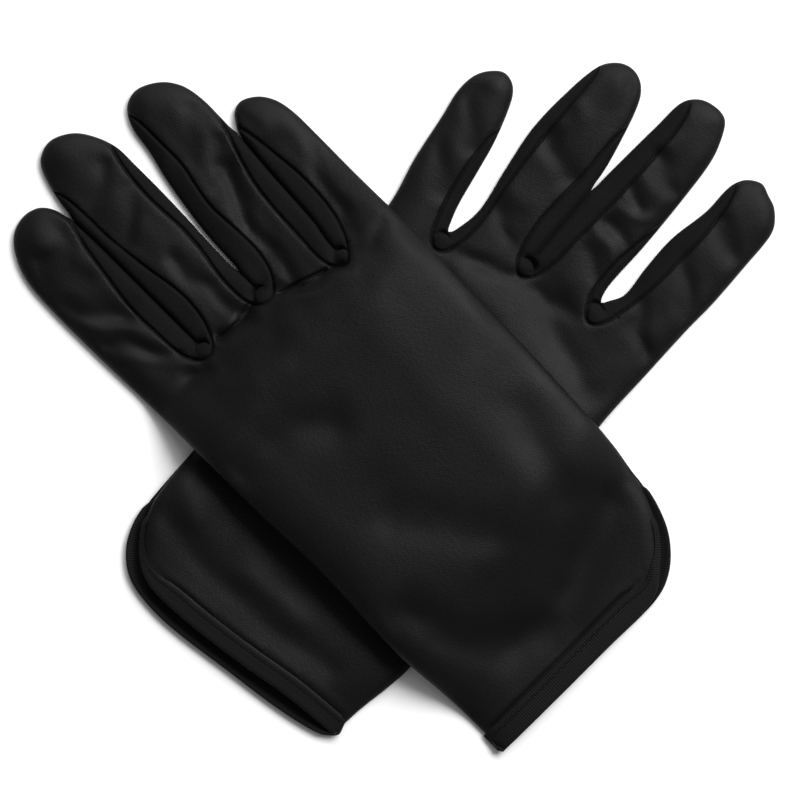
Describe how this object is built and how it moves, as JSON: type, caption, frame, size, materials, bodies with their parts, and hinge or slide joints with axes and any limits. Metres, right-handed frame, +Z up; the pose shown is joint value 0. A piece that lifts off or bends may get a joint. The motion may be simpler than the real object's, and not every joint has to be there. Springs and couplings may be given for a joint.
{
  "type": "dress gloves",
  "caption": "Crossed pair of wrist-length stretch satin dress gloves with fourchette fingers, tucked thumbs, ribbed cuff binding and a rounded side vent.",
  "frame": {"origin": "centre of the bounding box's base, on the table that the gloves lie on", "axes": "+Z up from the table; +Y towards the fingertips, so that both cuffs are at -Y; the right glove, on top, points to -X +Y and the left glove to +X +Y"},
  "size_m": [0.2283, 0.2078, 0.0195],
  "materials": {
    "satin_knit": "black nylon and elastane satin knit, soft broad sheen",
    "side_strip_knit": "the same knit's dull side, matte black",
    "binding_tape": "ribbed black elastic binding tape, matte",
    "thread": "black polyester sewing thread"
  },
  "bodies": {
    "left_hand": {"left_back_panel": "satin_knit", "left_palm_panel": "satin_knit", "left_cuff_binding": "binding_tape", "left_cuff_topstitch": "thread", "left_web_little_ring": "side_strip_knit", "left_web_ring_middle": "side_strip_knit", "left_web_middle_index": "side_strip_knit"},
    "left_thumb": {"left_thumb_under": "satin_knit", "left_thumb_over": "satin_knit"},
    "left_little": {"left_little_back": "satin_knit", "left_little_palm": "satin_knit", "left_little_fourchette_little_ring": "side_strip_knit"},
    "left_ring": {"left_ring_back": "satin_knit", "left_ring_palm": "satin_knit", "left_ring_fourchette_little_ring": "side_strip_knit", "left_ring_fourchette_ring_middle": "side_strip_knit"},
    "left_middle": {"left_middle_back": "satin_knit", "left_middle_palm": "satin_knit", "left_middle_fourchette_ring_middle": "side_strip_knit", "left_middle_fourchette_middle_index": "side_strip_knit"},
    "left_index": {"left_index_back": "satin_knit", "left_index_palm": "satin_knit", "left_index_fourchette_middle_index": "side_strip_knit"},
    "right_hand": {"right_back_panel": "satin_knit", "right_palm_panel": "satin_knit", "right_cuff_binding": "binding_tape", "right_cuff_topstitch": "thread", "right_web_little_ring": "side_strip_knit", "right_web_ring_middle": "side_strip_knit", "right_web_middle_index": "side_strip_knit"},
    "right_thumb": {"right_thumb_under": "satin_knit", "right_thumb_over": "satin_knit"},
    "right_little": {"right_little_back": "satin_knit", "right_little_palm": "satin_knit", "right_little_fourchette_little_ring": "side_strip_knit"},
    "right_ring": {"right_ring_back": "satin_knit", "right_ring_palm": "satin_knit", "right_ring_fourchette_little_ring": "side_strip_knit", "right_ring_fourchette_ring_middle": "side_strip_knit"},
    "right_middle": {"right_middle_back": "satin_knit", "right_middle_palm": "satin_knit", "right_middle_fourchette_ring_middle": "side_strip_knit", "right_middle_fourchette_middle_index": "side_strip_knit"},
    "right_index": {"right_index_back": "satin_knit", "right_index_palm": "satin_knit", "right_index_fourchette_middle_index": "side_strip_knit"}
  },
  "joints": [
    {"name": "right_glove_lift", "type": "slide", "parent": "left_hand", "child": "right_hand", "axis": [0, 0, 1], "range_m": [0, 0.12]},
    {"name": "left_little_fold", "type": "hinge", "parent": "left_hand", "child": "left_little", "pos_m": [0.01015, 0.06279, 0.00515], "axis": [0.7749, -0.632, 0], "range_deg": [0, 90]},
    {"name": "left_ring_fold", "type": "hinge", "parent": "left_hand", "child": "left_ring", "pos_m": [0.03303, 0.05446, 0.00515], "axis": [0.7749, -0.632, 0], "range_deg": [0, 90]},
    {"name": "left_middle_fold", "type": "hinge", "parent": "left_hand", "child": "left_middle", "pos_m": [0.05265, 0.03975, 0.00515], "axis": [0.7749, -0.632, 0], "range_deg": [0, 90]},
    {"name": "left_index_fold", "type": "hinge", "parent": "left_hand", "child": "left_index", "pos_m": [0.07086, 0.02489, 0.00515], "axis": [0.7749, -0.632, 0], "range_deg": [0, 90]},
    {"name": "left_thumb_swing", "type": "hinge", "parent": "left_hand", "child": "left_thumb", "pos_m": [0.0149, -0.02948, 0.001], "axis": [0, 0, -1], "range_deg": [0, 25]},
    {"name": "right_little_fold", "type": "hinge", "parent": "right_hand", "child": "right_little", "pos_m": [-0.00957, 0.0552, 0.01418], "axis": [0.7071, 0.7071, 0], "range_deg": [0, 90]},
    {"name": "right_ring_fold", "type": "hinge", "parent": "right_hand", "child": "right_ring", "pos_m": [-0.03149, 0.04459, 0.00894], "axis": [0.7071, 0.7071, 0], "range_deg": [0, 90]},
    {"name": "right_middle_fold", "type": "hinge", "parent": "right_hand", "child": "right_middle", "pos_m": [-0.04952, 0.02798, 0.00694], "axis": [0.7071, 0.7071, 0], "range_deg": [0, 90]},
    {"name": "right_index_fold", "type": "hinge", "parent": "right_hand", "child": "right_index", "pos_m": [-0.06614, 0.01136, 0.00584], "axis": [0.7071, 0.7071, 0], "range_deg": [0, 90]},
    {"name": "right_thumb_swing", "type": "hinge", "parent": "right_hand", "child": "right_thumb", "pos_m": [-0.00497, -0.03708, 0.0111], "axis": [0, 0, 1], "range_deg": [0, 60]}
  ]
}
